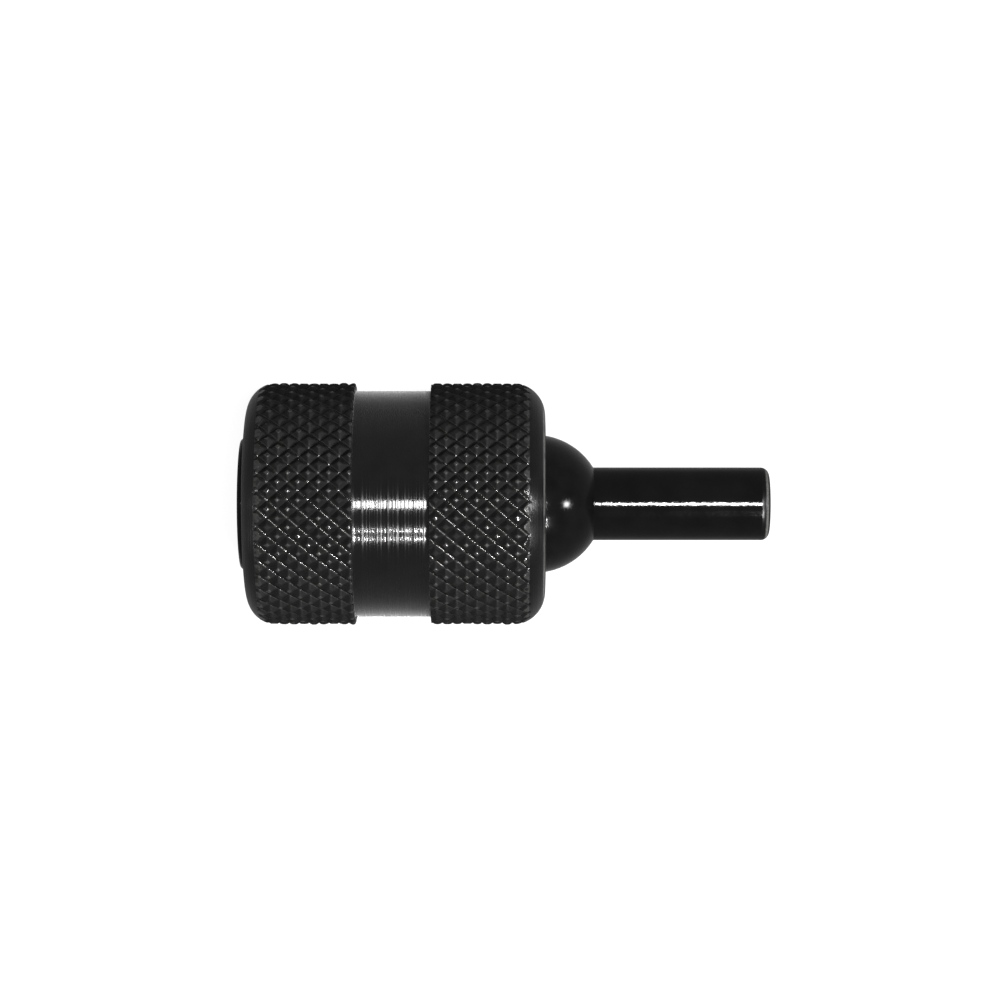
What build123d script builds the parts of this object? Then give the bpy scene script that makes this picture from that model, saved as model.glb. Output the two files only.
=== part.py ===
from build123d import *
from math import cos, pi, radians, sin, sqrt
import os

# Quick-change tip holder of a spring bar tool.
#
# A turned core carries a plain ground shank behind and a hexagon socket in front. Three
# detent balls in the core reach into the socket and lock a 4 mm hexagon tip, such as a fork
# or a push pin for spring bars. A knurled sleeve rides on the core. Its spring holds it
# forward, where the bore of its cam ring keeps the balls pressed in. Drawn back towards the
# shank, a shallow cone in the cam ring lets the balls out. The sleeve also spins freely.
#
# Units are millimetres. +X runs along the axis from the socket to the shank. The origin is
# on the axis, in the plane where the shank leaves the ball nose, so the socket is at -X.

# Shank and ball nose
SHANK_D = 4.0
SHANK_REACH = 9.65
SHANK_END_ROUND = 0.45
SPIGOT_D = 3.0
SPIGOT_LENGTH = 6.0
BALL_NOSE_D = 7.6

# Core barrel and socket
BARREL_D = 7.2
CORE_FRONT_X = -19.35
CORE_EDGE = 0.1
REAR_STEP_X = -6.3
HEX_FLATS = 4.05
HEX_DEPTH = 9.0
HEX_LEAD_IN = 0.25
MAGNET_D = 3.0
MAGNET_LENGTH = 2.0

# Grip sleeve
GRIP_D = 13.3
GRIP_FRONT_X = -19.0
GRIP_REAR_X = -2.65
GRIP_FRONT_ROUND = 1.65
GRIP_REAR_ROUND = 1.8
GRIP_BORE_D = 9.2
WAIST_D = 12.4
WAIST_FRONT_X = -13.05
WAIST_REAR_X = -8.9
WAIST_EDGE = 0.12
MOUTH_EDGE = 0.2

# Release mechanism
STROKE = 2.2
DETENT_BALL_D = 2.0
DETENT_TRAVEL = 0.4
DETENT_X = -15.8
DETENT_ANGLES = (90, 210, 330)
DETENT_INNER_REACH = 1.61
RUNNING_GAP = 0.03
FACE_GAP = 0.01
CAM_FRONT_X = -18.15
CAM_REAR_X = -14.4
CAM_EDGE = 0.15
RING_THICKNESS = 0.45
RING_GROOVE_R = 3.2
RING_OUTER_R = 4.35
RING_SWEEP = 320
WASHER_THICKNESS = 0.5
WASHER_OUTER_R = 4.5
WASHER_EDGE = 0.06
BUSH_LENGTH = 3.25
BUSH_OUTER_R = 4.35
BUSH_EDGE = 0.12

# Spring
WIRE_D = 0.65
COIL_MEAN_R = 4.1
ACTIVE_TURNS = 5.5
END_TURNS = 1
END_PITCH = 0.67
GROUND_DEPTH = 0.15
POINTS_PER_TURN = 16

# Worked out from the dimensions above
SHANK_R = SHANK_D / 2
BALL_NOSE_R = BALL_NOSE_D / 2
BALL_NOSE_X = -sqrt(BALL_NOSE_R**2 - SHANK_R**2)
BARREL_R = BARREL_D / 2
SPIGOT_R = SPIGOT_D / 2
HEX_FLOOR_X = CORE_FRONT_X + HEX_DEPTH
HEX_CORNER_R = HEX_FLATS / 2 / cos(radians(30))
GRIP_R = GRIP_D / 2
GRIP_BORE_R = GRIP_BORE_D / 2
WAIST_R = WAIST_D / 2
BARREL_CLEAR_R = BARREL_R + RUNNING_GAP
DETENT_R = DETENT_BALL_D / 2
DETENT_CENTRE_R = DETENT_INNER_REACH + DETENT_R
DETENT_HOLE_R = DETENT_R + RUNNING_GAP
CAM_SLOPE = DETENT_TRAVEL / STROKE
CAM_R_AT_DETENT = DETENT_CENTRE_R + (DETENT_R + FACE_GAP) * sqrt(1 + CAM_SLOPE**2)
CAM_MOUTH_R = CAM_R_AT_DETENT + (DETENT_X - CAM_FRONT_X) * CAM_SLOPE
CAM_LAND_X = DETENT_X + (CAM_R_AT_DETENT - BARREL_CLEAR_R) / CAM_SLOPE
RING_FRONT_X = CAM_FRONT_X - FACE_GAP - RING_THICKNESS
SPRING_FRONT_X = CAM_REAR_X + FACE_GAP + WASHER_THICKNESS
SPRING_REAR_X = REAR_STEP_X - WASHER_THICKNESS
BUSH_FRONT_X = GRIP_REAR_X - BUSH_LENGTH

# The lip that keeps a detent ball out of the socket is coned at 45 degrees. It meets the
# ball a face gap short of the ball's innermost place.
LIP_R = 0.8 * DETENT_R
LIP_BASE_R = DETENT_CENTRE_R - (DETENT_R + FACE_GAP) * sqrt(2) + LIP_R


def turned(outline, sweep=360):
    """Turn a closed outline of (x, radius) points about the X axis, in the active part."""
    with BuildSketch(Plane.XY) as section:
        with BuildLine():
            Polyline(*outline, close=True)
        make_face()
    revolve(section.sketch, axis=Axis.X, revolution_arc=sweep)


def ring(front_x, rear_x, inner_r, outer_r, sweep=360):
    """Turn a plain ring between two faces, in the active part."""
    corners = [(front_x, inner_r), (rear_x, inner_r), (rear_x, outer_r), (front_x, outer_r)]
    turned(corners, sweep)


def circles(builder, radius, x):
    """The edges of a turned part that circle the axis at one radius and one place."""
    round_edges = builder.edges().filter_by(GeomType.CIRCLE)
    at_radius = round_edges.filter_by(lambda edge: abs(edge.radius - radius) < 1e-4)
    return at_radius.filter_by_position(Axis.X, x - 1e-4, x + 1e-4)


def radial_plane(x, angle):
    """A plane at x on the axis whose normal points outwards, at an angle from +Y about X."""
    outwards = (0, cos(radians(angle)), sin(radians(angle)))
    return Plane(origin=(x, 0, 0), x_dir=(1, 0, 0), z_dir=outwards)


def coil_x(turn):
    """Where the wire's centre is along the axis after a number of turns from the front."""
    start = SPRING_FRONT_X + WIRE_D / 2 - GROUND_DEPTH
    length = SPRING_REAR_X - SPRING_FRONT_X - WIRE_D + 2 * GROUND_DEPTH
    active_pitch = (length - 2 * END_TURNS * END_PITCH) / ACTIVE_TURNS
    front = min(turn, END_TURNS)
    rear = max(turn - END_TURNS - ACTIVE_TURNS, 0)
    return start + (front + rear) * END_PITCH + (turn - front - rear) * active_pitch


def coil_point(turn):
    """The point on the wire's centre line after a number of turns from the front."""
    angle = 2 * pi * turn
    return (coil_x(turn), COIL_MEAN_R * cos(angle), COIL_MEAN_R * sin(angle))


def write(part, label):
    """Label one finished part and write its STEP file."""
    part.label = label
    export_step(part, f"parts/{label}.step")


os.makedirs("parts", exist_ok=True)

# Core: one turned piece with the ball nose, the bore for the shank's spigot, the hexagon
# socket, the magnet's pocket, the stop ring's groove and the detent balls' holes
with BuildPart() as core:
    with BuildSketch(Plane.XY):
        with BuildLine():
            nose_mid_x = BALL_NOSE_X + BALL_NOSE_R * cos(radians(60))
            nose_mid_r = BALL_NOSE_R * sin(radians(60))
            Polyline(
                (0, SHANK_R),
                (0, SPIGOT_R),
                (-SPIGOT_LENGTH, SPIGOT_R),
                (-SPIGOT_LENGTH, 0),
                (CORE_FRONT_X, 0),
                (CORE_FRONT_X, BARREL_R),
                (REAR_STEP_X, BARREL_R),
                (REAR_STEP_X, BALL_NOSE_R),
                (BALL_NOSE_X, BALL_NOSE_R),
            )
            ThreePointArc((BALL_NOSE_X, BALL_NOSE_R), (nose_mid_x, nose_mid_r), (0, SHANK_R))
        make_face()
    revolve(axis=Axis.X)
    chamfer(circles(core, BARREL_R, CORE_FRONT_X), CORE_EDGE)

    with BuildSketch(Plane.XY):
        with Locations((RING_FRONT_X - FACE_GAP, RING_GROOVE_R)):
            Rectangle(RING_THICKNESS + 2 * FACE_GAP, BARREL_R, align=Align.MIN)
    revolve(axis=Axis.X, mode=Mode.SUBTRACT)

    socket_mouth = Plane(origin=(CORE_FRONT_X, 0, 0), x_dir=(0, 0, 1), z_dir=(1, 0, 0))
    with BuildSketch(socket_mouth):
        RegularPolygon(HEX_FLATS / 2, side_count=6, major_radius=False, rotation=30)
    extrude(amount=HEX_DEPTH, mode=Mode.SUBTRACT)
    with BuildSketch(socket_mouth.offset(HEX_DEPTH)):
        Circle(MAGNET_D / 2)
    extrude(amount=MAGNET_LENGTH, mode=Mode.SUBTRACT)
    with BuildSketch(Plane.XY):
        with BuildLine():
            lead_in_r = HEX_CORNER_R + HEX_LEAD_IN
            Polyline(
                (CORE_FRONT_X, 0),
                (CORE_FRONT_X, lead_in_r),
                (CORE_FRONT_X + lead_in_r, 0),
                close=True,
            )
        make_face()
    revolve(axis=Axis.X, mode=Mode.SUBTRACT)

    cone_height = DETENT_HOLE_R - LIP_R
    upright = (Align.CENTER, Align.CENTER, Align.MIN)
    for angle in DETENT_ANGLES:
        hole_plane = radial_plane(DETENT_X, angle)
        with Locations(hole_plane):
            Cylinder(LIP_R, BARREL_R, align=upright, mode=Mode.SUBTRACT)
        with Locations(hole_plane.offset(LIP_BASE_R)):
            Cone(LIP_R, DETENT_HOLE_R, cone_height, align=upright, mode=Mode.SUBTRACT)
        with Locations(hole_plane.offset(LIP_BASE_R + cone_height)):
            Cylinder(DETENT_HOLE_R, BARREL_R, align=upright, mode=Mode.SUBTRACT)
write(core.part, "core")

# Shank: a ground pin with a rounded end, whose spigot is pressed into the core
with BuildPart() as shank:
    turned(
        [
            (-SPIGOT_LENGTH, 0),
            (SHANK_REACH, 0),
            (SHANK_REACH, SHANK_R),
            (0, SHANK_R),
            (0, SPIGOT_R),
            (-SPIGOT_LENGTH, SPIGOT_R),
        ]
    )
    fillet(circles(shank, SHANK_R, SHANK_REACH), SHANK_END_ROUND)
write(shank.part, "shank")

# Magnet in the socket's floor, which holds a tip until the balls lock it
with BuildPart() as magnet:
    with BuildSketch(Plane.YZ.offset(HEX_FLOOR_X)):
        Circle(MAGNET_D / 2)
    extrude(amount=MAGNET_LENGTH)
write(magnet.part, "magnet")

# Detent balls, at their innermost place
for number, angle in enumerate(DETENT_ANGLES, start=1):
    with BuildPart() as detent_ball:
        with Locations(radial_plane(DETENT_X, angle).offset(DETENT_CENTRE_R)):
            Sphere(DETENT_R)
    write(detent_ball.part, f"detent_ball_{number}")

# Stop ring: an open snap ring in the core's groove, which the cam ring rests against
with BuildPart() as stop_ring:
    ring(RING_FRONT_X, RING_FRONT_X + RING_THICKNESS, RING_GROOVE_R, RING_OUTER_R, RING_SWEEP)
write(stop_ring.part, "stop_ring")

# Cam ring: pressed into the sleeve's front, with a cone that opens forward from its land
with BuildPart() as cam_ring:
    turned(
        [
            (CAM_FRONT_X, CAM_MOUTH_R),
            (CAM_LAND_X, BARREL_CLEAR_R),
            (CAM_REAR_X, BARREL_CLEAR_R),
            (CAM_REAR_X, GRIP_BORE_R),
            (CAM_FRONT_X, GRIP_BORE_R),
        ]
    )
    chamfer(circles(cam_ring, GRIP_BORE_R, CAM_REAR_X), CAM_EDGE)
    chamfer(circles(cam_ring, BARREL_CLEAR_R, CAM_REAR_X), CAM_EDGE)
write(cam_ring.part, "cam_ring")

# Grip sleeve: two bands for the knurl with a smooth waist between them, large rounds at
# both ends, and a stepped bore that opens to the front
with BuildPart() as grip_sleeve:
    turned(
        [
            (GRIP_FRONT_X, GRIP_BORE_R),
            (GRIP_FRONT_X, GRIP_R),
            (WAIST_FRONT_X, GRIP_R),
            (WAIST_FRONT_X, WAIST_R),
            (WAIST_REAR_X, WAIST_R),
            (WAIST_REAR_X, GRIP_R),
            (GRIP_REAR_X, GRIP_R),
            (GRIP_REAR_X, BUSH_OUTER_R),
            (BUSH_FRONT_X, BUSH_OUTER_R),
            (BUSH_FRONT_X, GRIP_BORE_R),
        ]
    )
    fillet(circles(grip_sleeve, GRIP_R, GRIP_FRONT_X), GRIP_FRONT_ROUND)
    fillet(circles(grip_sleeve, GRIP_R, GRIP_REAR_X), GRIP_REAR_ROUND)
    chamfer(circles(grip_sleeve, GRIP_R, WAIST_FRONT_X), WAIST_EDGE)
    chamfer(circles(grip_sleeve, GRIP_R, WAIST_REAR_X), WAIST_EDGE)
    chamfer(circles(grip_sleeve, GRIP_BORE_R, GRIP_FRONT_X), MOUTH_EDGE)
write(grip_sleeve.part, "grip_sleeve")

# Rear bush: pressed into the sleeve's rear, running on the core
with BuildPart() as rear_bush:
    ring(BUSH_FRONT_X, GRIP_REAR_X, BALL_NOSE_R + RUNNING_GAP, BUSH_OUTER_R)
    chamfer(circles(rear_bush, BALL_NOSE_R + RUNNING_GAP, BUSH_FRONT_X), BUSH_EDGE)
    chamfer(circles(rear_bush, BALL_NOSE_R + RUNNING_GAP, GRIP_REAR_X), BUSH_EDGE)
write(rear_bush.part, "rear_bush")

# Thrust washer: between the spring and the cam ring, so that the sleeve spins on it
with BuildPart() as thrust_washer:
    ring(CAM_REAR_X + FACE_GAP, SPRING_FRONT_X, BARREL_CLEAR_R, WASHER_OUTER_R)
    chamfer(circles(thrust_washer, WASHER_OUTER_R, CAM_REAR_X + FACE_GAP), WASHER_EDGE)
    chamfer(circles(thrust_washer, WASHER_OUTER_R, SPRING_FRONT_X), WASHER_EDGE)
write(thrust_washer.part, "thrust_washer")

# Spring seat: a washer against the core's rear step
with BuildPart() as spring_seat:
    ring(SPRING_REAR_X, REAR_STEP_X, BARREL_CLEAR_R, WASHER_OUTER_R)
    chamfer(circles(spring_seat, WASHER_OUTER_R, SPRING_REAR_X), WASHER_EDGE)
    chamfer(circles(spring_seat, WASHER_OUTER_R, REAR_STEP_X), WASHER_EDGE)
write(spring_seat.part, "spring_seat")

# Spring: closed and ground compression spring, as compressed as it is with the sleeve forward
with BuildPart() as spring:
    total_turns = ACTIVE_TURNS + 2 * END_TURNS
    point_count = round(total_turns * POINTS_PER_TURN)
    with BuildLine() as centre_line:
        Spline(*[coil_point(step / POINTS_PER_TURN) for step in range(point_count + 1)])
    with BuildSketch(Plane(origin=centre_line.line @ 0, z_dir=centre_line.line % 0)):
        Circle(WIRE_D / 2)
    sweep(path=centre_line.line, is_frenet=True)
    split(bisect_by=Plane.YZ.offset(SPRING_FRONT_X), keep=Keep.TOP)
    split(bisect_by=Plane.YZ.offset(SPRING_REAR_X), keep=Keep.BOTTOM)
write(spring.part, "spring")
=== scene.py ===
import bpy
import math
import numpy as np
from mathutils import Euler, Matrix, Vector


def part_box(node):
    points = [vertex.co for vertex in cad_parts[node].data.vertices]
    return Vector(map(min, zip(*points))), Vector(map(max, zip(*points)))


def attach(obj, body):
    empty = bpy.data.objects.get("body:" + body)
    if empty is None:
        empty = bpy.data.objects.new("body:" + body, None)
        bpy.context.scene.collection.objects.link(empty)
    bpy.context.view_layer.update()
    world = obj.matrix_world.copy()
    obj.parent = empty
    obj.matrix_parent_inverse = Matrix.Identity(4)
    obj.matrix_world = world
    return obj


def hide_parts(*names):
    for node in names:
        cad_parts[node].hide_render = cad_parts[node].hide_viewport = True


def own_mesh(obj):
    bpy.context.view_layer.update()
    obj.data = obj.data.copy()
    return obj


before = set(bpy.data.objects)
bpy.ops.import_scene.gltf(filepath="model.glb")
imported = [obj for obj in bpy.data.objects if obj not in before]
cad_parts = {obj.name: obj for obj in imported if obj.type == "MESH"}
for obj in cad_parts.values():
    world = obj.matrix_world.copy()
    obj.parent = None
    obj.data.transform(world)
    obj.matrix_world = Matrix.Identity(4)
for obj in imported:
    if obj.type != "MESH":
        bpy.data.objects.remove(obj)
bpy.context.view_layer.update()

# Looks of the quick-change tip holder. Lengths are in millimetres unless a name says otherwise,
# and the meshes are scaled to metres as they are made. The holder's axis is the X axis.
MM = 0.001
FULL_TURN = 2 * math.pi

# ---------------------------------------------------------------- sizes taken from the frame
sleeve_low, sleeve_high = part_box("grip_sleeve")
shank_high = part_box("shank")[1]
washer_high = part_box("thrust_washer")[1]
seat_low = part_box("spring_seat")[0]
GRIP_FRONT = sleeve_low.x / MM
GRIP_REAR = sleeve_high.x / MM
GRIP_R = sleeve_high.y / MM
FLOOR_Z = sleeve_low.z
SPRING_FRONT = washer_high.x / MM
SPRING_REAR = seat_low.x / MM
SHANK_END = shank_high.x / MM

# ---------------------------------------------------------------- grip sleeve's outline
FRONT_ROUND = 1.65
REAR_ROUND = 1.8
WAIST_FRONT = -13.05
WAIST_REAR = -8.9
WAIST_R = 6.2
WAIST_EDGE = 0.12
WAIST_FILLET = 0.03
EDGE_ANGLES_DEG = (0, 30, 60, 90)
ROUND_STEPS = 13
WAIST_STEPS = 24
BORE_R = 4.6
BUSH_SEAT_R = 4.35
BUSH_SEAT_FRONT = -5.9
BUSH_LEAD_IN = 0.05
MOUTH_EDGE = 0.2

# ---------------------------------------------------------------- diamond knurl
DIAMONDS_ROUND = 42
STEPS_PER_DIAMOND = 12
AXIAL_PITCH = 1.094
KNURL_DEPTH = 0.29
TIP_FLAT = 0.25
TIP_VARIATION = 0.15
TIP_WEAR_SEED = 7
CREASE_ROUNDING = 0.05
GROOVE_BOTTOM = 0.02
PRESSED_WIDTH = 0.25
LATTICE_MARGIN = 0.25
FRONT_BAND_PEAK = -14.79
REAR_BAND_PEAK = -4.18
KNURL_TURN = math.radians(1.8)
FRONT_KNURL_START_DEG = 55
REAR_KNURL_END_DEG = 56
ROUND_SLOT, KNURL_SLOT, WAIST_SLOT = 0, 1, 2

# ---------------------------------------------------------------- spring
WIRE_R = 0.325
COIL_MEAN_R = 4.1
ACTIVE_TURNS = 5.5
END_TURNS = 1
END_PITCH = 0.66
GROUND_DEPTH = 0.25
SPRING_STEPS_PER_TURN = 48
WIRE_SIDES = 16
SPRING_REST_LENGTH = SPRING_REAR - SPRING_FRONT


# ================================================================ meshes


def make_object(name, points_mm, faces):
    """An object in the scene from points in millimetres and lists of point numbers."""
    mesh = bpy.data.meshes.new(name)
    mesh.from_pydata((np.asarray(points_mm) * MM).tolist(), [], faces)
    mesh.update()
    mesh.shade_smooth()
    made = bpy.data.objects.new(name, mesh)
    bpy.context.scene.collection.objects.link(made)
    return made


def ridge(phase):
    """1 where phase is whole and 0 half-way between, with both corners eased."""
    falling = np.abs((phase + 0.5) % 1.0 - 0.5) * 2.0
    eased = np.sqrt((1 - falling) ** 2 + CREASE_ROUNDING**2) - CREASE_ROUNDING
    return eased / (math.sqrt(1 + CREASE_ROUNDING**2) - CREASE_ROUNDING)


def knurl_phases(x, turn, peak_x):
    """Where places lie across the two sets of grooves, one winding each way, in pitches."""
    along = (x - peak_x) / AXIAL_PITCH
    around = turn * DIAMONDS_ROUND / FULL_TURN
    return along + around, along - around


def knurl_height(x, turn, peak_x, tip_flats):
    """Height above the grooves' root as a share of the knurl's depth."""
    right_hand, left_hand = knurl_phases(x, turn, peak_x)
    pyramid = np.minimum(ridge(right_hand), ridge(left_hand))
    row, column = np.round(right_hand).astype(int), np.round(left_hand).astype(int)
    flat = tip_flats[row % len(tip_flats), column % len(tip_flats)]
    return np.minimum(pyramid, 1 - flat) / (1 - TIP_FLAT)


def lattice(start, end, peak_x):
    """Places along the axis on the knurl's own grid, between two ends."""
    step = AXIAL_PITCH / STEPS_PER_DIAMOND
    first = math.ceil((start - peak_x) / step + LATTICE_MARGIN)
    last = math.floor((end - peak_x) / step - LATTICE_MARGIN)
    return [peak_x + i * step for i in range(first, last + 1)]


def rounded_r(x, face_x, radius):
    """The outline's radius at a place x, at or near the round beside an end face."""
    depth = min(abs(x - face_x), radius)
    return GRIP_R - radius + math.sqrt(radius**2 - (radius - depth) ** 2)


def grip_outline():
    """The sleeve's closed outline as rows: x, radius, the knurl's peak place or None, corner."""
    rows = []

    def smooth(x, r, corner=False):
        rows.append((x, r, None, corner))

    def knurled(x, r, peak_x):
        rows.append((x, r, peak_x, False))

    for angle in np.radians(np.linspace(0, FRONT_KNURL_START_DEG, ROUND_STEPS)):
        x = GRIP_FRONT + FRONT_ROUND * (1 - math.cos(angle))
        smooth(x, GRIP_R - FRONT_ROUND * (1 - math.sin(angle)))
    for x in lattice(rows[-1][0], WAIST_FRONT - WAIST_EDGE, FRONT_BAND_PEAK):
        knurled(x, rounded_r(x, GRIP_FRONT, FRONT_ROUND), FRONT_BAND_PEAK)
    for angle in np.radians(EDGE_ANGLES_DEG):
        x = WAIST_FRONT - WAIST_EDGE * (1 - math.sin(angle))
        knurled(x, GRIP_R - WAIST_EDGE * (1 - math.cos(angle)), FRONT_BAND_PEAK)
    smooth(WAIST_FRONT + WAIST_FILLET / 4, WAIST_R + WAIST_FILLET)
    for x in np.linspace(WAIST_FRONT + WAIST_FILLET, WAIST_REAR - WAIST_FILLET, WAIST_STEPS):
        smooth(x, WAIST_R)
    smooth(WAIST_REAR - WAIST_FILLET / 4, WAIST_R + WAIST_FILLET)
    for angle in np.radians(EDGE_ANGLES_DEG[::-1]):
        x = WAIST_REAR + WAIST_EDGE * (1 - math.sin(angle))
        knurled(x, GRIP_R - WAIST_EDGE * (1 - math.cos(angle)), REAR_BAND_PEAK)
    rear_start = GRIP_REAR - REAR_ROUND * (1 - math.cos(math.radians(REAR_KNURL_END_DEG)))
    for x in lattice(WAIST_REAR + WAIST_EDGE, rear_start, REAR_BAND_PEAK):
        knurled(x, rounded_r(x, GRIP_REAR, REAR_ROUND), REAR_BAND_PEAK)
    for angle in np.radians(np.linspace(REAR_KNURL_END_DEG, 0, ROUND_STEPS)):
        x = GRIP_REAR - REAR_ROUND * (1 - math.cos(angle))
        smooth(x, GRIP_R - REAR_ROUND * (1 - math.sin(angle)))
    smooth(GRIP_REAR, BUSH_SEAT_R + BUSH_LEAD_IN, corner=True)
    smooth(GRIP_REAR - BUSH_LEAD_IN, BUSH_SEAT_R, corner=True)
    smooth(BUSH_SEAT_FRONT, BUSH_SEAT_R, corner=True)
    smooth(BUSH_SEAT_FRONT, BORE_R, corner=True)
    smooth(GRIP_FRONT + MOUTH_EDGE, BORE_R, corner=True)
    smooth(GRIP_FRONT, BORE_R + MOUTH_EDGE, corner=True)
    return rows


def mark_sharp_edges(mesh, corner_rows, in_sharp_groove, columns):
    """Marks the rings of edges on the given rows, and the edges along the crisper grooves, as sharp."""
    ends = np.zeros(len(mesh.edges) * 2, int)
    mesh.edges.foreach_get("vertices", ends)
    row = (ends // columns).reshape(-1, 2)
    ring = (row[:, 0] == row[:, 1]) & np.isin(row[:, 0], corner_rows)
    groove = (row[:, 0] != row[:, 1]) & in_sharp_groove[ends].reshape(-1, 2).all(1)
    mesh.attributes.new("sharp_edge", "BOOLEAN", "EDGE").data.foreach_set("value", ring | groove)


def knurled_sleeve():
    """The whole sleeve as one closed mesh, with the diamonds as real geometry."""
    rows = grip_outline()
    columns = DIAMONDS_ROUND * STEPS_PER_DIAMOND
    turn = np.arange(columns) * FULL_TURN / columns
    worn = np.random.default_rng(TIP_WEAR_SEED).random((DIAMONDS_ROUND, DIAMONDS_ROUND)) ** 2
    tip_flats = TIP_FLAT + TIP_VARIATION * worn
    points = np.zeros((len(rows), columns, 3))
    heights = np.ones((len(rows), columns))
    pressed = np.zeros((len(rows), columns))
    in_sharp_groove = np.zeros((len(rows), columns), bool)
    for i, (x, radius, peak_x, _) in enumerate(rows):
        r = np.full(columns, radius)
        if peak_x is not None:
            share = knurl_height(x, turn, peak_x, tip_flats)
            cut = GRIP_R - KNURL_DEPTH * (1 - share)
            heights[i] = np.where(cut < radius, share, 1.0)
            right_hand, left_hand = knurl_phases(x, turn, peak_x)
            in_groove = (1 - ridge(right_hand) / PRESSED_WIDTH).clip(0, 1)
            on_groove_wall = (cut < radius) & (ridge(right_hand) <= ridge(left_hand))
            pressed[i] = np.where(on_groove_wall, in_groove, 0.0)
            in_sharp_groove[i] = ridge(left_hand) < GROOVE_BOTTOM
            r = np.minimum(radius, cut)
        y, z = r * np.sin(turn + KNURL_TURN), r * np.cos(turn + KNURL_TURN)
        points[i] = np.stack([np.full(columns, x), y, z], 1)
    faces, finishes = [], []
    index = np.arange(len(rows) * columns).reshape(len(rows), columns)
    for i, (x, _, peak_x, _) in enumerate(rows):
        j = (i + 1) % len(rows)
        a, d = index[i], index[j]
        b, c = np.roll(a, -1), np.roll(d, -1)
        in_band = peak_x is not None and rows[j][2] is not None
        if not in_band:
            faces += np.stack([a, b, c, d], 1).tolist()
            finishes += [WAIST_SLOT if WAIST_FRONT < x < WAIST_REAR else ROUND_SLOT] * columns
            continue
        middle_x, middle_turn = (x + rows[j][0]) / 2, turn + math.pi / columns
        right_hand, left_hand = knurl_phases(middle_x, middle_turn, peak_x)
        along_right_hand = (ridge(right_hand) < ridge(left_hand))[:, None]
        faces += np.where(along_right_hand, np.stack([a, b, d], 1), np.stack([a, b, c], 1)).tolist()
        faces += np.where(along_right_hand, np.stack([b, c, d], 1), np.stack([a, c, d], 1)).tolist()
        finishes += [KNURL_SLOT] * (2 * columns)
    made = make_object("grip_sleeve_knurled", points.reshape(-1, 3), faces)
    corner_rows = [i for i, row in enumerate(rows) if row[3]]
    mark_sharp_edges(made.data, corner_rows, in_sharp_groove.ravel(), columns)
    made.data.polygons.foreach_set("material_index", np.array(finishes, int))
    for name, values in (("knurl_height", heights), ("knurl_pressed", pressed)):
        attribute = made.data.attributes.new(name, "FLOAT", "POINT")
        attribute.data.foreach_set("value", values.ravel().astype(np.float32))
    return made


def coil_x(turn):
    """Where the wire's centre is along the axis after a number of turns from the front."""
    length = SPRING_REST_LENGTH - 2 * WIRE_R + 2 * GROUND_DEPTH
    active_pitch = (length - 2 * END_TURNS * END_PITCH) / ACTIVE_TURNS
    front = min(turn, END_TURNS)
    rear = max(turn - END_TURNS - ACTIVE_TURNS, 0)
    first = SPRING_FRONT + WIRE_R - GROUND_DEPTH
    return first + (front + rear) * END_PITCH + (turn - front - rear) * active_pitch


def spring_mesh():
    """The compression spring, with its two ends ground flat."""
    turns = ACTIVE_TURNS + 2 * END_TURNS
    steps = round(turns * SPRING_STEPS_PER_TURN)
    points = []
    for step in range(steps + 1):
        turn = turns * step / steps
        angle = FULL_TURN * turn
        outward = np.array([0, math.cos(angle), math.sin(angle)])
        for side in range(WIRE_SIDES):
            round_wire = FULL_TURN * side / WIRE_SIDES
            point = outward * (COIL_MEAN_R + WIRE_R * math.cos(round_wire))
            point[0] = np.clip(coil_x(turn) + WIRE_R * math.sin(round_wire), SPRING_FRONT, SPRING_REAR)
            points.append(point)
    faces = []
    for step in range(steps):
        for side in range(WIRE_SIDES):
            a, b = step * WIRE_SIDES + side, step * WIRE_SIDES + (side + 1) % WIRE_SIDES
            faces.append([b, a, a + WIRE_SIDES, b + WIRE_SIDES])
    faces.append(list(range(WIRE_SIDES)))
    faces.append([steps * WIRE_SIDES + side for side in reversed(range(WIRE_SIDES))])
    return make_object("return_spring", points, faces)


# ================================================================ materials


STRETCH_SOCKETS = ("From Min", "From Max", "To Min", "To Max")
NOISE_LOW, NOISE_HIGH = 0.3, 0.7
BREAKUP_LOW, BREAKUP_HIGH, BREAKUP_LEAST = 0.35, 0.55, 0.3
BAND_FULL_SHARE = 0.3
WHITE = (1, 1, 1, 1)


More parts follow.
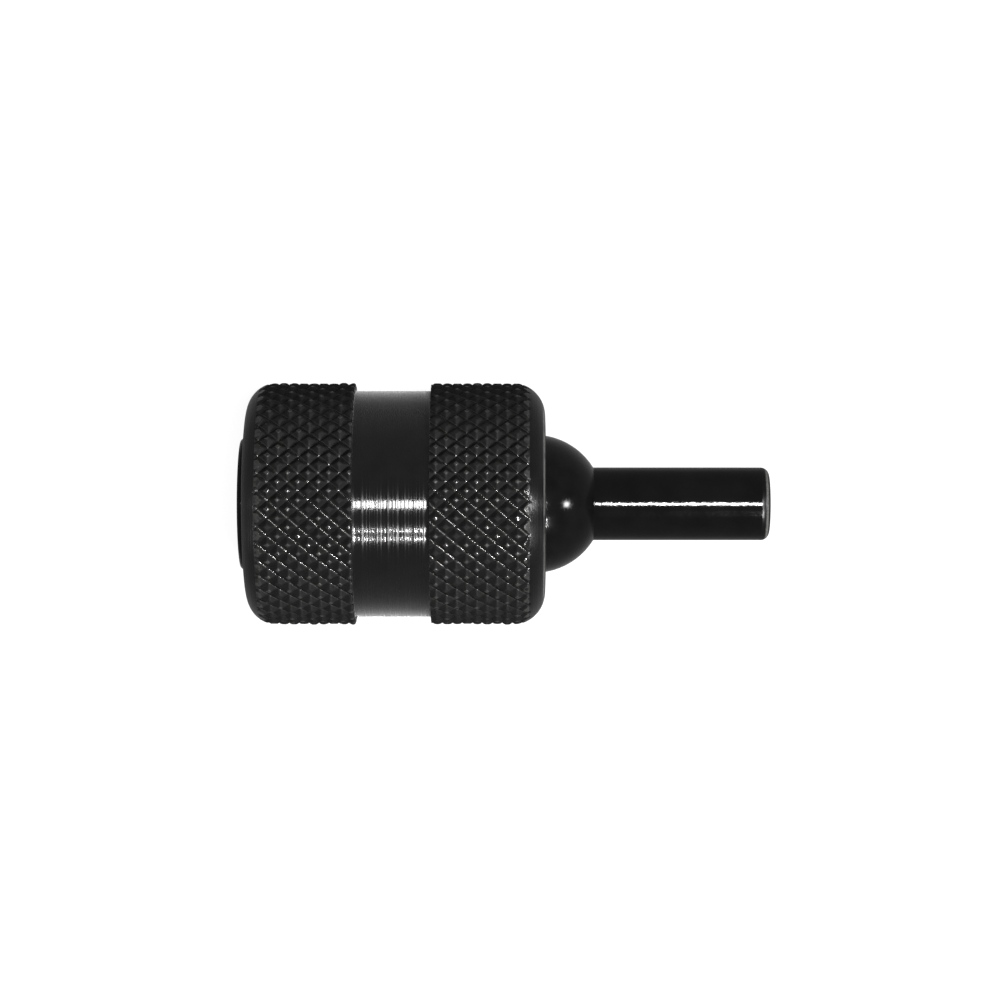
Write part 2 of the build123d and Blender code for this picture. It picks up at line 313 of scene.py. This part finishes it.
class Finish:
    """A node material being put together around its Principled shader."""

    def __init__(self, name):
        self.material = bpy.data.materials.new(name)
        self.material.use_nodes = True
        self.nodes = self.material.node_tree.nodes
        self.links = self.material.node_tree.links
        self.shader = self.nodes["Principled BSDF"]
        place = self.nodes.new("ShaderNodeTexCoord").outputs["Object"]
        self.place = self.vector_math("SCALE", place, scale=1 / MM)
        split = self.nodes.new("ShaderNodeSeparateXYZ")
        self.links.new(self.place, split.inputs[0])
        self.x = split.outputs["X"]
        y_squared = self.math("POWER", split.outputs["Y"], 2)
        z_squared = self.math("POWER", split.outputs["Z"], 2)
        self.r = self.math("SQRT", self.math("ADD", y_squared, z_squared))

    def put(self, source, socket):
        if isinstance(source, bpy.types.NodeSocket):
            self.links.new(source, socket)
        else:
            socket.default_value = source

    def math(self, operation, a, b=0.0):
        step = self.nodes.new("ShaderNodeMath")
        step.operation = operation
        self.put(a, step.inputs[0])
        self.put(b, step.inputs[1])
        return step.outputs[0]

    def vector_math(self, operation, a, scale):
        step = self.nodes.new("ShaderNodeVectorMath")
        step.operation = operation
        self.put(a, step.inputs[0])
        step.inputs["Scale"].default_value = scale
        return step.outputs[0]

    def mesh_value(self, name):
        """A number stored on the mesh's points."""
        stored = self.nodes.new("ShaderNodeAttribute")
        stored.attribute_name = name
        return stored.outputs["Fac"]

    def noise(self, size_mm, detail=3.0, rough=0.5):
        """Cloudy noise over the surface, with features of about that size."""
        cloud = self.nodes.new("ShaderNodeTexNoise")
        self.links.new(self.place, cloud.inputs["Vector"])
        cloud.inputs["Scale"].default_value = 1 / size_mm
        cloud.inputs["Detail"].default_value = detail
        cloud.inputs["Roughness"].default_value = rough
        return cloud.outputs[0]

    def rings(self, size_mm, detail=3.0, rough=0.5, shift=0.0):
        """Noise that changes only from ring to ring of a turned surface."""
        middle = (GRIP_FRONT + GRIP_REAR) / 2
        to_end = self.math("ABSOLUTE", self.math("SUBTRACT", self.x, middle))
        lines = self.nodes.new("ShaderNodeTexNoise")
        lines.noise_dimensions = "1D"
        self.links.new(self.math("ADD", self.math("SUBTRACT", to_end, self.r), shift), lines.inputs["W"])
        lines.inputs["Scale"].default_value = 1 / size_mm
        lines.inputs["Detail"].default_value = detail
        lines.inputs["Roughness"].default_value = rough
        return lines.outputs[0]

    def spread(self, value, low, high, to_low, to_high):
        """value's stretch from low to high, laid over another stretch and held at its ends."""
        step = self.nodes.new("ShaderNodeMapRange")
        self.put(value, step.inputs["Value"])
        for name, number in zip(STRETCH_SOCKETS, (low, high, to_low, to_high)):
            self.put(number, step.inputs[name])
        return step.outputs[0]

    def drift(self, noise, low, high):
        """A number that drifts between two with a noise."""
        return self.spread(noise, NOISE_LOW, NOISE_HIGH, low, high)

    def drift_and_swing(self, noise, low, high, finer, swing):
        """A number that drifts between two with a noise, and swings either way with a finer one."""
        drifting = self.drift(noise, low, high)
        return self.math("ADD", drifting, self.drift(finer, -swing, swing))

    def blend(self, share, first, second):
        step = self.nodes.new("ShaderNodeMix")
        step.data_type = "RGBA"
        self.put(share, step.inputs["Factor"])
        self.put(first, step.inputs["A"])
        self.put(second, step.inputs["B"])
        return step.outputs["Result"]

    def blend_value(self, share, first, second):
        step = self.nodes.new("ShaderNodeMix")
        self.put(share, step.inputs["Factor"])
        self.put(first, step.inputs["A"])
        self.put(second, step.inputs["B"])
        return step.outputs["Result"]

    def band(self, place, middle, width, breakup):
        """1 in a narrow band round a place, fading out at its sides, with a noise to break it up."""
        away = self.math("ABSOLUTE", self.math("SUBTRACT", place, middle))
        share = self.spread(away, width * BAND_FULL_SHARE, width, 1.0, 0.0)
        broken = self.spread(breakup, BREAKUP_LOW, BREAKUP_HIGH, BREAKUP_LEAST, 1.0)
        return self.math("MULTIPLY", share, broken)

    def relief(self, height, depth_mm, under=None):
        """Fine relief from a height of 0 to 1, on top of another relief if there is one."""
        bump = self.nodes.new("ShaderNodeBump")
        bump.inputs["Distance"].default_value = depth_mm * MM
        self.put(height, bump.inputs["Height"])
        if under is not None:
            self.links.new(under, bump.inputs["Normal"])
        return bump.outputs[0]

    def set(self, **sockets):
        for name, value in sockets.items():
            self.put(value, self.shader.inputs[name.replace("_", " ")])

    def stretch_gloss_along_axis(self, amount):
        """Spreads a highlight along the axis, as ring marks do: the tangent round X, turned a quarter."""
        tangent = self.nodes.new("ShaderNodeTangent")
        tangent.direction_type = "RADIAL"
        tangent.axis = "X"
        self.links.new(tangent.outputs[0], self.shader.inputs["Tangent"])
        self.set(Anisotropic=amount, Anisotropic_Rotation=0.25)


BLACK = (0.0022, 0.0022, 0.0023, 1)
BLACK_WORN = (0.0044, 0.0043, 0.0042, 1)
KNURL_BLACK = (0.0055, 0.0055, 0.0055, 1)
KNURL_BLACK_WORN = (0.0115, 0.0114, 0.0112, 1)
# Light grey base colour used only for painted highlight lines: on the shank's end round and near the sleeve's
# rear rim.
PAINTED_HIGHLIGHT_GREY = (0.16, 0.157, 0.15, 1)
THIN_OXIDE = (0.19, 0.19, 0.186, 1)
PRESSED_OXIDE = (0.075, 0.075, 0.073, 1)
SHANK_END_ROUND = 0.45
END_ROUND_DULLER = 0.25
END_ROUND_BLEND = 0.05
# Place and width of the painted highlight band on the shank's end round.
SHANK_HIGHLIGHT_DEPTH = 0.18
SHANK_HIGHLIGHT_WIDTH = 0.10
# Place and width of the painted highlight ring near the sleeve's rear rim.
REAR_RIM_HIGHLIGHT_DEPTH = 0.1
REAR_RIM_HIGHLIGHT_WIDTH = 0.065
TOOL_MARK_DULLER = 0.12
TOOL_MARK_SHIFT = 31.0
TIP_RUB_START, TIP_RUB_FULL = 0.88, 0.99
SHINY_ROUGHNESS = 0.15


def black_turned():
    """Black oxide over a smooth turned surface, as on the core: very fine rings and a slight grain."""
    finish = Finish("black_oxide_turned")
    fine = finish.rings(size_mm=0.10, detail=3.0, rough=0.6)
    clouds = finish.noise(size_mm=0.8)
    grain = finish.noise(size_mm=0.05, detail=3.0, rough=0.6)
    roughness = finish.drift_and_swing(clouds, 0.10, 0.13, grain, swing=0.02)
    colour = finish.blend(finish.drift(clouds, 0.0, 1.0), BLACK, BLACK_WORN)
    finish.set(Base_Color=colour, Roughness=roughness, Sheen_Weight=0.08, Sheen_Roughness=0.35)
    ring_relief = finish.relief(fine, depth_mm=0.0010)
    finish.set(Normal=finish.relief(grain, depth_mm=0.0022, under=ring_relief))
    return finish.material


def black_tool_marked(name, smoothest, dullest, ring_depth_mm, sheen):
    """Black oxide over the sleeve's coarser turning: streaky rings, broken by deeper tool marks."""
    finish = Finish(name)
    fine = finish.rings(size_mm=0.16, detail=4.0, rough=0.65)
    marks = finish.spread(finish.rings(size_mm=0.17, detail=1.0, shift=TOOL_MARK_SHIFT), 0.55, 0.60, 0.0, 1.0)
    clouds = finish.noise(size_mm=1.2)
    grain = finish.noise(size_mm=0.06, detail=2.0)
    streaks = finish.spread(fine, 0.38, 0.62, smoothest, dullest)
    roughness = finish.math("ADD", streaks, finish.drift(grain, -0.02, 0.02))
    roughness = finish.math("ADD", roughness, finish.math("MULTIPLY", marks, TOOL_MARK_DULLER))
    colour = finish.blend(finish.drift(clouds, 0.0, 1.0), BLACK, BLACK_WORN)
    # A painted highlight: a thin light-grey ring of base colour near the rear rim, standing in for the rim's
    # reflection.
    painted_rim_highlight = finish.band(finish.x, GRIP_REAR - REAR_RIM_HIGHLIGHT_DEPTH, REAR_RIM_HIGHLIGHT_WIDTH, clouds)
    colour = finish.blend(painted_rim_highlight, colour, PAINTED_HIGHLIGHT_GREY)
    ring_relief = finish.relief(fine, ring_depth_mm)
    finish.set(Base_Color=colour, Roughness=roughness, Specular_IOR_Level=0.95)
    finish.set(Sheen_Weight=sheen, Sheen_Roughness=0.33)
    finish.set(Normal=finish.relief(grain, depth_mm=0.0010, under=ring_relief))
    finish.stretch_gloss_along_axis(amount=0.9)
    return finish.material


def black_ground():
    """Black oxide over a ground surface: nearly mirror-smooth, with a slight ripple. The round at the end is
    duller, and a narrow band on it is painted light grey as a highlight."""
    finish = Finish("black_oxide_ground")
    ripple = finish.noise(size_mm=0.22, detail=3.0)
    grain = finish.noise(size_mm=0.05, detail=2.0)
    clouds = finish.noise(size_mm=1.5)
    roughness = finish.drift(clouds, 0.06, 0.09)
    colour = finish.blend(finish.drift(clouds, 0.0, 1.0), BLACK, BLACK_WORN)
    # A painted highlight: a thin light-grey band of base colour on the end round, standing in for its
    # reflection.
    painted_edge_highlight = finish.band(finish.x, SHANK_END - SHANK_HIGHLIGHT_DEPTH, SHANK_HIGHLIGHT_WIDTH, grain)
    round_start = SHANK_END - SHANK_END_ROUND
    on_end_round = finish.spread(finish.x, round_start - END_ROUND_BLEND, round_start, 0.0, END_ROUND_DULLER)
    roughness = finish.math("ADD", roughness, on_end_round)
    finish.set(Base_Color=finish.blend(painted_edge_highlight, colour, PAINTED_HIGHLIGHT_GREY), Roughness=roughness)
    ripple_relief = finish.relief(ripple, depth_mm=0.006)
    finish.set(Normal=finish.relief(grain, depth_mm=0.0004, under=ripple_relief))
    return finish.material


def black_knurled():
    """Black oxide over the rolled knurl: dull walls, with the oxide rubbed thin on the tips and pressed
    shiny along the grooves that wind one way."""
    finish = Finish("black_oxide_knurled")
    high = finish.mesh_value("knurl_height")
    grain = finish.noise(size_mm=0.08, detail=3.0)
    patches = finish.noise(size_mm=0.5, detail=2.0)
    on_tips = finish.spread(high, TIP_RUB_START, TIP_RUB_FULL, 0.0, 1.0)
    rubbed = finish.math("MULTIPLY", on_tips, finish.spread(patches, 0.35, 0.6, 0.3, 1.0))
    groove = finish.spread(finish.mesh_value("knurl_pressed"), 0.3, 0.7, 0.0, 1.0)
    pressed = finish.math("MULTIPLY", groove, finish.spread(patches, 0.3, 0.5, 0.5, 1.0))
    shiny = finish.math("MAXIMUM", rubbed, pressed)
    walls = finish.drift_and_swing(patches, 0.62, 0.72, grain, swing=0.08)
    roughness = finish.blend_value(shiny, walls, SHINY_ROUGHNESS)
    metal = finish.blend(rubbed, PRESSED_OXIDE, THIN_OXIDE)
    dull = finish.blend(patches, KNURL_BLACK, KNURL_BLACK_WORN)
    finish.set(Base_Color=finish.blend(shiny, dull, metal), Metallic=shiny)
    finish.set(Roughness=roughness, Specular_IOR_Level=0.22)
    finish.set(Normal=finish.relief(grain, depth_mm=0.009))
    return finish.material


def bright_metal(name, light, dark, roughness, ring_depth_mm, stretched=0.0):
    """Bare metal: faint clouding, a grain, and rings where it was turned."""
    finish = Finish(name)
    clouds = finish.noise(size_mm=1.5)
    grain = finish.noise(size_mm=0.07, detail=3.0)
    fine = finish.rings(size_mm=0.14, detail=3.0, rough=0.6)
    colour = finish.blend(finish.drift(clouds, 0.0, 1.0), (*light, 1), (*dark, 1))
    worn = finish.drift_and_swing(fine, roughness, roughness * 1.6, grain, swing=0.03)
    finish.set(Base_Color=colour, Metallic=1.0, Roughness=worn)
    ring_relief = finish.relief(fine, ring_depth_mm)
    finish.set(Normal=finish.relief(grain, depth_mm=0.0006, under=ring_relief))
    if stretched:
        finish.stretch_gloss_along_axis(stretched)
    return finish.material


turned = black_turned()
knurled = black_knurled()
FINISHES = {
    "core": turned,
    "shank": black_ground(),
    "magnet": bright_metal(
        "nickel_plate", light=(0.72, 0.69, 0.63), dark=(0.62, 0.60, 0.55),
        roughness=0.14, ring_depth_mm=0.001,
    ),
    "stop_ring": bright_metal(
        "spring_steel", light=(0.34, 0.33, 0.32), dark=(0.22, 0.21, 0.21),
        roughness=0.24, ring_depth_mm=0.002,
    ),
    "thrust_washer": bright_metal(
        "bright_steel", light=(0.60, 0.59, 0.57), dark=(0.48, 0.47, 0.46),
        roughness=0.20, ring_depth_mm=0.004, stretched=0.5,
    ),
    "cam_ring": bright_metal(
        "hardened_steel", light=(0.42, 0.41, 0.41), dark=(0.33, 0.33, 0.34),
        roughness=0.18, ring_depth_mm=0.003, stretched=0.5,
    ),
    "detent_ball_1": bright_metal(
        "ball_steel", light=(0.70, 0.70, 0.69), dark=(0.62, 0.62, 0.62),
        roughness=0.07, ring_depth_mm=0.0,
    ),
    "rear_bush": bright_metal(
        "bronze", light=(0.60, 0.38, 0.17), dark=(0.46, 0.27, 0.11),
        roughness=0.24, ring_depth_mm=0.004, stretched=0.5,
    ),
}
FINISHES["spring_seat"] = FINISHES["thrust_washer"]
FINISHES["detent_ball_2"] = FINISHES["detent_ball_3"] = FINISHES["detent_ball_1"]

for name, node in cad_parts.items():
    node.data.materials.clear()
    node.data.materials.append(FINISHES.get(name, turned))

sleeve = knurled_sleeve()
sleeve.data.materials.append(black_tool_marked("black_oxide_rounds", 0.20, 0.30, 0.014, sheen=0.0))
sleeve.data.materials.append(knurled)
sleeve.data.materials.append(black_tool_marked("black_oxide_waist", 0.11, 0.18, 0.014, sheen=0.55))
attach(sleeve, "grip")
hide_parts("grip_sleeve")

spring = spring_mesh()
spring.data.materials.append(FINISHES["stop_ring"])
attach(spring, "core")
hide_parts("spring")
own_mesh(spring)

# ================================================================ floor, light and camera

# The floor is a white table lit from below, so that almost no shadow shows on it.
FLOOR_HALF_M = 3.0
FLOOR_GLOW = 0.95
FLOOR_ALBEDO = 0.2
FLOOR_DARKEST_SHARE = 0.96
FLOOR_DROP = 0.005
GLOW_START_Z, GLOW_FULL_Z = -0.45, -0.95
LAMP_DISTANCE_M = 0.27


def lit_table():
    """The pale floor just under the grip sleeve."""
    z = FLOOR_Z / MM - FLOOR_DROP
    half = FLOOR_HALF_M / MM
    corners = [(-half, -half, z), (half, -half, z), (half, half, z), (-half, half, z)]
    table = make_object("floor", corners, [[0, 1, 2, 3]])
    finish = Finish("white_table")
    clouds = finish.noise(size_mm=60.0)
    shade = finish.drift(clouds, FLOOR_ALBEDO * FLOOR_DARKEST_SHARE, FLOOR_ALBEDO)
    grey = finish.nodes.new("ShaderNodeCombineColor")
    for channel in grey.inputs:
        finish.links.new(shade, channel)
    finish.set(Base_Color=grey.outputs[0], Roughness=0.8, Emission_Strength=FLOOR_GLOW)
    finish.shader.inputs["Emission Color"].default_value = WHITE
    finish.shader.inputs["Specular IOR Level"].default_value = 0.1
    table.data.materials.append(finish.material)
    table.visible_glossy = False


def dim_room(overhead, underneath, backdrop):
    """A dim grey room that differs straight below, where the table is. Only the camera sees the room as
    pale as a paper backdrop."""
    world = bpy.data.worlds.new("studio")
    bpy.context.scene.world = world
    world.use_nodes = True
    nodes, links = world.node_tree.nodes, world.node_tree.links
    place = nodes.new("ShaderNodeTexCoord")
    split = nodes.new("ShaderNodeSeparateXYZ")
    links.new(place.outputs["Generated"], split.inputs[0])
    steepness = nodes.new("ShaderNodeMapRange")
    steepness.interpolation_type = "SMOOTHSTEP"
    links.new(split.outputs["Z"], steepness.inputs["Value"])
    for name, number in zip(STRETCH_SOCKETS, (GLOW_START_Z, GLOW_FULL_Z, overhead, underneath)):
        steepness.inputs[name].default_value = number
    seen = nodes.new("ShaderNodeLightPath").outputs["Is Camera Ray"]
    brightness = nodes.new("ShaderNodeMix")
    links.new(steepness.outputs[0], brightness.inputs["A"])
    brightness.inputs["B"].default_value = backdrop
    links.new(seen, brightness.inputs["Factor"])
    links.new(brightness.outputs["Result"], nodes["Background"].inputs["Strength"])
    nodes["Background"].inputs["Color"].default_value = WHITE


def soft_lamp(name, right_deg, down_deg, size_deg, radiance):
    """A flat lamp facing the holder. Its place and size are angles seen from the holder, from straight
    above towards +X (right) and -Y (down); radiance is in W/m2/sr."""
    right, down = math.radians(right_deg), math.radians(down_deg)
    along_y = -math.cos(right) * math.sin(down)
    upward = math.cos(right) * math.cos(down)
    direction = Vector((math.sin(right), along_y, upward))
    width, height = (2 * LAMP_DISTANCE_M * math.tan(math.radians(size) / 2) for size in size_deg)
    light = bpy.data.lights.new(name, "AREA")
    light.shape = "RECTANGLE"
    light.size, light.size_y = width, height
    light.energy = radiance * math.pi * width * height
    lamp = bpy.data.objects.new(name, light)
    lamp.location = direction * LAMP_DISTANCE_M
    sideways = (Vector((1, 0, 0)) - direction * direction.x).normalized()
    axes = Matrix((sideways, direction.cross(sideways), direction)).transposed()
    lamp.rotation_euler = axes.to_euler()
    bpy.context.scene.collection.objects.link(lamp)


lit_table()
dim_room(overhead=0.13, underneath=0.2, backdrop=0.85)
soft_lamp("top_strip", right_deg=8, down_deg=0.8, size_deg=(14, 6.6), radiance=62)
soft_lamp("twin_tube_1", right_deg=13.1, down_deg=27.3, size_deg=(4.2, 1.9), radiance=480)
soft_lamp("twin_tube_2", right_deg=13.1, down_deg=36, size_deg=(4.2, 1.9), radiance=520)
soft_lamp("side_lamp", right_deg=53.5, down_deg=1, size_deg=(8, 6), radiance=40)

CAMERA_HEIGHT_M = 0.1911
CAMERA_OVER = Vector((-0.00514, 0.0, CAMERA_HEIGHT_M))
camera_data = bpy.data.cameras.new("camera")
camera_data.lens = 125.05
camera_data.sensor_width = 36.0
camera_data.clip_start, camera_data.clip_end = 0.001, 20.0
camera_data.shift_x = 0.00025
camera_data.shift_y = 0.0038
camera = bpy.data.objects.new("camera", camera_data)
camera.location = CAMERA_OVER
camera.rotation_euler = Euler((0, 0, 0))
bpy.context.scene.collection.objects.link(camera)
bpy.context.scene.camera = camera
bpy.context.scene.view_settings.view_transform = "Standard"

bpy.context.view_layer.update()
